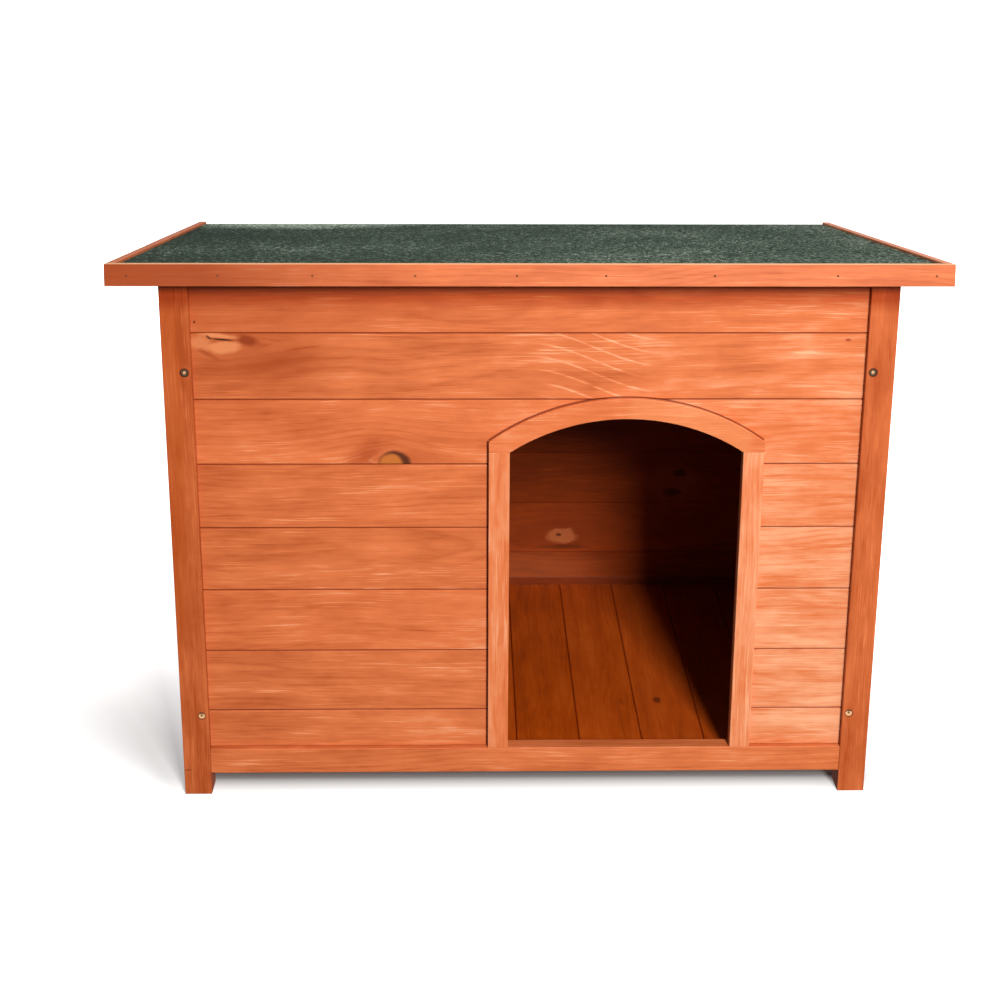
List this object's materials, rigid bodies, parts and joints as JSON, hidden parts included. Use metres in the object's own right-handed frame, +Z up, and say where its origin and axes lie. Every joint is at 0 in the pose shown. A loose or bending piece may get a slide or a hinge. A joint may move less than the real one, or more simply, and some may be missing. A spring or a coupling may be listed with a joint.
{
  "type": "outdoor dog kennel",
  "caption": "Wooden plank kennel on legs with an arched doorway, a boarded floor and a green felt roof that falls to the back and lifts on hinges.",
  "frame": {"origin": "on the ground under the middle of the roof's bounding box", "axes": "+X across the doorway to the viewer's right, +Y from the doorway to the back, +Z up"},
  "size_m": [1.16, 0.799, 0.8231],
  "materials": {
    "honey_wood": "honey-coloured stain, satin",
    "inner_wood": "honey-coloured stain, matt",
    "green_felt": "mineral roofing felt, green granules",
    "yellow_zinc": "yellow zinc plating",
    "bright_zinc": "bright zinc plating"
  },
  "bodies": {
    "cabin": {"front_leg_left": "honey_wood", "front_leg_right": "honey_wood", "rear_leg_left": "honey_wood", "rear_leg_right": "honey_wood", "front_bottom_rail": "honey_wood", "rear_bottom_rail": "honey_wood", "left_bottom_rail": "honey_wood", "right_bottom_rail": "honey_wood", "front_top_rail": "inner_wood", "rear_top_rail": "honey_wood", "left_top_rail": "inner_wood", "right_top_rail": "inner_wood", "front_left_stile": "inner_wood", "front_right_stile": "inner_wood", "rear_left_stile": "inner_wood", "rear_right_stile": "inner_wood", "left_door_stile": "inner_wood", "right_door_stile": "inner_wood", "left_door_jamb": "honey_wood", "right_door_jamb": "honey_wood", "door_arch": "honey_wood", "left_front_board_1": "honey_wood", "left_front_board_2": "honey_wood", "left_front_board_3": "honey_wood", "left_front_board_4": "honey_wood", "left_front_board_5": "honey_wood", "right_front_board_1": "honey_wood", "right_front_board_2": "honey_wood", "right_front_board_3": "honey_wood", "right_front_board_4": "honey_wood", "right_front_board_5": "honey_wood", "arch_front_board": "honey_wood", "upper_front_board": "honey_wood", "top_front_board": "honey_wood", "left_wall_boards": "honey_wood", "right_wall_boards": "honey_wood", "rear_wall_boards": "honey_wood", "floor_boards": "inner_wood", "floor_bearers": "inner_wood", "leg_screws": "yellow_zinc", "hinge_wall_leaves": "bright_zinc", "hinge_pins": "bright_zinc", "hinge_wall_screws": "bright_zinc", "stay_stud": "bright_zinc"},
    "roof": {"roof_deck": "inner_wood", "roof_felt": "green_felt", "front_fascia": "honey_wood", "rear_fascia": "honey_wood", "left_roof_trim": "honey_wood", "right_roof_trim": "honey_wood", "front_roof_batten": "inner_wood", "rear_roof_batten": "inner_wood", "fascia_brads": "bright_zinc", "hinge_roof_leaves": "bright_zinc", "hinge_roof_screws": "bright_zinc", "stay_bracket": "bright_zinc", "bracket_screws": "bright_zinc", "stay_rivet": "bright_zinc"},
    "stay": {"roof_stay": "bright_zinc"}
  },
  "joints": [
    {"name": "roof_hinge", "type": "hinge", "parent": "cabin", "child": "roof", "pos_m": [0, 0.28891, 0.70653], "axis": [-1, 0, 0], "range_deg": [0, 70]},
    {"name": "stay_pivot", "type": "hinge", "parent": "roof", "child": "stay", "pos_m": [-0.466, 0.03991, 0.73067], "axis": [1, 0, 0], "range_deg": [0, 133.16]}
  ]
}
